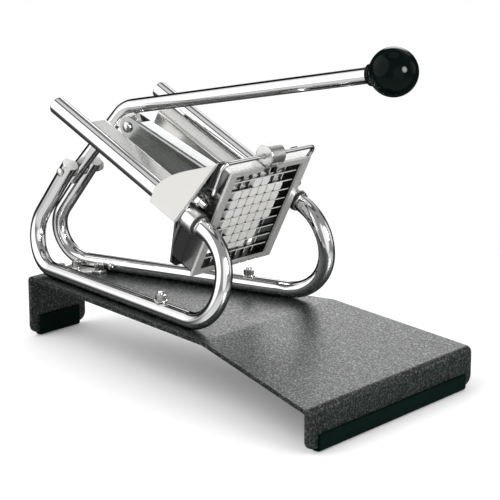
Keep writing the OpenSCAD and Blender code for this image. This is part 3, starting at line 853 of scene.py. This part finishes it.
def link():
    """Channel link folded from one sheet, each cheek with an open slot for the pusher pin."""
    line = rounded([(-7.75, -15), (-7.75, 8.25), (7.75, 8.25), (7.75, -15)], [1.8, 1.8])
    channel = folded(line, 1.5, lambda y, n, i: ((-9.5, y, n), (118, y, n)))
    side = arc((0, 0), 9, 90, 262, 20) + [(60, -14.95), (118, -14.95), (118, 9.05), (0, 9.05)]
    channel = cut(channel, slab([(x, -12, n) for x, n in side], (0, 24, 0)), "INTERSECT")
    channel = cut(channel, block((-12, -6.95, 4), (10, 6.95, 12)))
    wide = 3.85
    slot = arc((-0.3, 0), wide, 0, 180, 16) + [(-0.3 - wide, -20), (-0.3 + wide, -20)]
    upright = Matrix.Translation((LINK_LENGTH, 0, 0)) @ Matrix.Rotation(LINK_TILT, 4, "Y")
    channel = cut(channel, slab([upright @ Vector((x, -12, n)) for x, n in slot], (0, 24, 0)))
    piece("link_channel", channel, LINK, CHEEK, "link", ["link"], edge=0.3)


def peg_rows():
    """Rows from the foot of the hopper upwards, with the columns of cells the food fills in each."""
    reach = (0, 1, 2, 2, 3, 3, 3, 3, 1)
    for row, half in enumerate(reach):
        for column in range(GRID_COLUMNS // 2 - half, GRID_COLUMNS // 2 + half):
            yield row, column


def pusher():
    """Steel pusher plate with a white peg for each cell, its lug, its pin and its nylon shoe."""
    half = [(39, 38), (39, 1.6), (30.5, 1.6), (30.5, -11.2), (13.4, -35.4)]
    outline = [(PUSHER_S, y, n) for y, n in half] + [(PUSHER_S, -y, n) for y, n in reversed(half)]
    piece("pusher_back", slab(outline, (PUSHER_SHEET, 0, 0)), RAILS, POLISHED_PAINTED_SHADE, "pusher", ["pusher_plate"],
          edge=0.5)
    wide, high = 2 * GRID_HALF / GRID_COLUMNS, (GRID_HIGH - GRID_LOW) / GRID_ROWS
    gap = BLADE / 2 + 0.2
    for row, column in peg_rows():
        y, n = -GRID_HALF + column * wide, GRID_LOW + row * high
        centre = Vector((y + wide / 2, n + high / 2))
        reach_y, reach_n = wide / 2 - gap - 2, high / 2 - gap - 2
        outline_2d = []
        for i, (a, b) in enumerate(((1, 1), (-1, 1), (-1, -1), (1, -1))):
            outline_2d += arc(centre + Vector((a * reach_y, b * reach_n)), 2, 90 * i, 90 * i + 90, 6)
        root = PUSHER_S + PUSHER_SHEET
        peg = slab([(root, *point) for point in outline_2d], (PEG_FRONT - root, 0, 0))
        if row == 1:
            peg = cut(peg, slab(outline, (25, 0, 0)), "INTERSECT")
        piece(f"pusher_peg_{row}_{column}", peg, RAILS, NYLON, "pusher", ["pusher_pegs"], edge=0.35)
    s, _, n = PUSHER_PIN
    lug_side = [(PUSHER_S, -30), (126, -30), (126, -22), (136, -8), (136, 9.6), (PUSHER_S, 9.6)]
    lug = slab([(x, -3, z) for x, z in lug_side], (0, 6, 0))
    piece("pusher_lug_plate", lug, RAILS, BRUSHED, "pusher", ["pusher_lug"], edge=0.5)
    piece("pusher_pin_shank", lathe([(0, 0), (3, 0), (3, 17.2), (0, 17.2)]),
          standing_on((s, -8.6, n), (0, 1, 0), RAILS), ZINC, "pusher", ["pusher_pin"])
    for side, name in zip(SIDES, ("near", "far")):
        piece(f"pusher_pin_head_{name}", round_head(9, 2),
              standing_on((s, side * 8.6, n), (0, side, 0), RAILS), ZINC, "pusher", ["pusher_pin"])
    shoe = [(-12.6, -35.5), (12.6, -35.5), (16, -30.4), (16, -30), (-16, -30), (-16, -30.4)]
    piece("pusher_shoe_block", slab([(126, y, n) for y, n in shoe], (32, 0, 0)), RAILS, NYLON, "pusher",
          ["pusher_shoe"], edge=0.15)


# ---------------------------------------------------------------- stage

def floor():
    """Plain pale floor, which the object's own reflections do not show."""
    bm = bmesh.new()
    bmesh.ops.create_circle(bm, cap_ends=True, segments=96, radius=0.5)
    mesh = bpy.data.meshes.new("floor")
    bm.to_mesh(mesh)
    bm.free()
    ground = bpy.data.objects.new("floor", mesh)
    bpy.context.scene.collection.objects.link(ground)
    look = Look("floor_paper", (0.93, 0.93, 0.93), 0.0, 0.9)
    grain = look.noise(look.coordinates(), 300, 3)
    look.colours(grain, (0.92, 0.92, 0.92), (0.94, 0.94, 0.94))
    look.shader.inputs["Specular IOR Level"].default_value = 0.1
    look.shader.inputs["Emission Color"].default_value = (1, 1, 1, 1)
    look.shader.inputs["Emission Strength"].default_value = 0.08
    mesh.materials.append(look.material)
    ground.visible_glossy = False


def aimed(name, data, place, target):
    obj = bpy.data.objects.new(name, data)
    obj.location = place
    obj.rotation_euler = (Vector(target) - Vector(place)).to_track_quat("-Z", "Y").to_euler()
    bpy.context.scene.collection.objects.link(obj)
    return obj


AZIMUTH = math.radians(40.72)
ELEVATION = math.radians(13.61)
CAMERA_VIEW = Vector((-math.cos(ELEVATION) * math.sin(AZIMUTH), math.cos(ELEVATION) * math.cos(AZIMUTH),
                      -math.sin(ELEVATION)))
CAMERA_RIGHT = Vector((math.cos(AZIMUTH), math.sin(AZIMUTH), 0))


def camera():
    data = bpy.data.cameras.new("camera")
    data.sensor_width = 36
    data.lens = 119.5
    data.clip_end = 20
    target = Vector((0.0444, 0, 0.11085))
    bpy.context.scene.camera = aimed("camera", data, target - CAMERA_VIEW * 1.3456, target)


def soft_light(name, place, size, power):
    """Round lamp that shines on the object and is not seen in its reflections."""
    data = bpy.data.lights.new(name, "AREA")
    data.shape = "DISK"
    data.size = size
    data.energy = power
    aimed(name, data, place, (0, 0, 0.1)).visible_glossy = False


# Direction, cosines of the outer and inner edge, and brightness of each softbox in the reflections
SOFTBOXES = (((-0.5, -0.78, 0.38), 0.72, 0.82, 1.5),
             ((-0.75, -0.4, 0.5), 0.86, 0.92, 1.1),
             ((0, 0, 1), 0.8, 0.9, 0.75),
             ((-0.5, 0.76, 0.4), 0.962, 0.985, 4),
             ((-0.12, 0.78, 0.62), 0.95, 0.98, 0.8),
             ((0.85, -0.5, 0.05), 0.85, 0.93, 1.1),
             ((0.63, 0.74, 0.2), 0.92, 0.97, 0.9),
             (CAMERA_RIGHT * 0.72 - CAMERA_VIEW * 0.69 + Vector((0, 0, 0.11)), 0.97, 0.99, 50))


def surroundings():
    """White studio. In reflections it is dark behind the object and lit by the softboxes."""
    world = bpy.data.worlds.new("studio")
    bpy.context.scene.world = world
    world.use_nodes = True
    tree = world.node_tree
    tree.nodes.clear()

    def made(kind, inputs, **settings):
        node = tree.nodes.new(kind)
        for name, value in settings.items():
            setattr(node, name, value)
        for name, value in inputs.items():
            if isinstance(value, bpy.types.NodeSocket):
                tree.links.new(value, node.inputs[name])
            else:
                node.inputs[name].default_value = value
        return node.outputs

    def fade(value, low, high, low_out, high_out):
        return made("ShaderNodeMapRange", {"Value": value, "From Min": low, "From Max": high,
                                           "To Min": low_out, "To Max": high_out})[0]

    def join(first, second, operation):
        return made("ShaderNodeMath", {0: first, 1: second}, operation=operation)[0]

    way = made("ShaderNodeTexCoord", {})["Generated"]
    height = made("ShaderNodeSeparateXYZ", {0: way})["Z"]

    def towards(direction):
        return made("ShaderNodeVectorMath", {0: way, 1: Vector(direction).normalized()},
                    operation="DOT_PRODUCT")["Value"]

    light = fade(towards(CAMERA_VIEW), 0.1, 0.5, 0.32, 0.02)
    light = join(light, fade(height, -0.4, -0.1, 0.2, 1), "MULTIPLY")
    below = join(fade(height, -0.45, -0.1, 0.8, 0), fade(towards(CAMERA_VIEW), 0, 0.3, 1, 0.1), "MULTIPLY")
    light = join(light, below, "MAXIMUM")
    for direction, edge, inside, glow in SOFTBOXES:
        light = join(light, fade(towards(direction), edge, inside, 0, glow), "MAXIMUM")
    band = join(fade(height, 0.84, 0.88, 1, 0.12), fade(height, 0.93, 0.96, 0, 1), "MAXIMUM")
    light = join(light, band, "MULTIPLY")
    lit = made("ShaderNodeBackground", {"Color": made("ShaderNodeCombineColor", {0: light, 1: light,
                                                                               2: light})[0]})[0]
    plain = made("ShaderNodeBackground", {"Color": (1, 1, 1, 1)})[0]
    mirrored = made("ShaderNodeLightPath", {})["Is Glossy Ray"]
    mixed = made("ShaderNodeMixShader", {0: mirrored, 1: plain, 2: lit})[0]
    made("ShaderNodeOutputWorld", {"Surface": mixed})


base_plate()
trims()
legs()
rails()
leg_fixings()
tie_strap()
leg_screws()
head_plate()
hopper()
blade_box()
leg_joints()
blade_frame()
blades()
bail()
pivot()
lever()
ball()
link()
pusher()
floor()
camera()
surroundings()
soft_light("key", (-0.6, -1.2, 1.6), 1.4, 14)
soft_light("fill", BALL * MM + CAMERA_RIGHT * 1.08 - CAMERA_VIEW * 1.03 + Vector((0, 0, 0.165)), 0.5, 3)
bpy.context.scene.view_settings.view_transform = "Standard"
